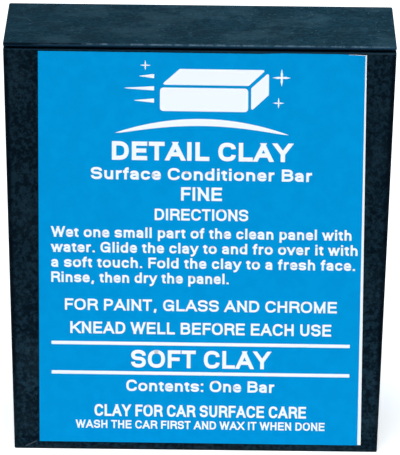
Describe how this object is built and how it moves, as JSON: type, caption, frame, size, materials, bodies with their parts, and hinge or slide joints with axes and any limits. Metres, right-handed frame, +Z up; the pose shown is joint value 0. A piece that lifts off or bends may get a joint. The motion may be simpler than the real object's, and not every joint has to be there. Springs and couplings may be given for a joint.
{
  "type": "clay bar",
  "caption": "Slab of cleaning clay in clear film, in an upright black moulded case with a flush hinged lid and a blue and white printed label.",
  "frame": {"origin": "on the surface the case stands on, under the middle of the whole object's box", "axes": "+Z up from the base to the lid, -Y out of the labelled front, +X to the right as the label is read"},
  "size_m": [0.0802, 0.0335, 0.0881],
  "materials": {
    "case_plastic": "fine moulded texture, near black with a cool cast",
    "lid_plastic": "dusty mottled matte, polished bright along its worn edges",
    "hinge_plastic": "thin flexed strip, slightly shinier than the case",
    "label_print": "coated paper, blue field with white print and a white strip at the right",
    "clay": "soft putty, matte with a slight waxy sheen",
    "clear_film": "thin clear film, crinkled"
  },
  "bodies": {
    "case": {"case_body": "case_plastic", "living_hinge": "hinge_plastic", "front_label": "label_print", "clay_bar": "clay", "clay_wrap": "clear_film"},
    "lid": {"case_lid": "lid_plastic"}
  },
  "joints": [
    {"name": "lid_hinge", "type": "hinge", "parent": "case", "child": "lid", "pos_m": [0, 0.01615, 0.08695], "axis": [-1, 0, 0], "range_deg": [0, 180], "deforming": ["living_hinge"]}
  ]
}
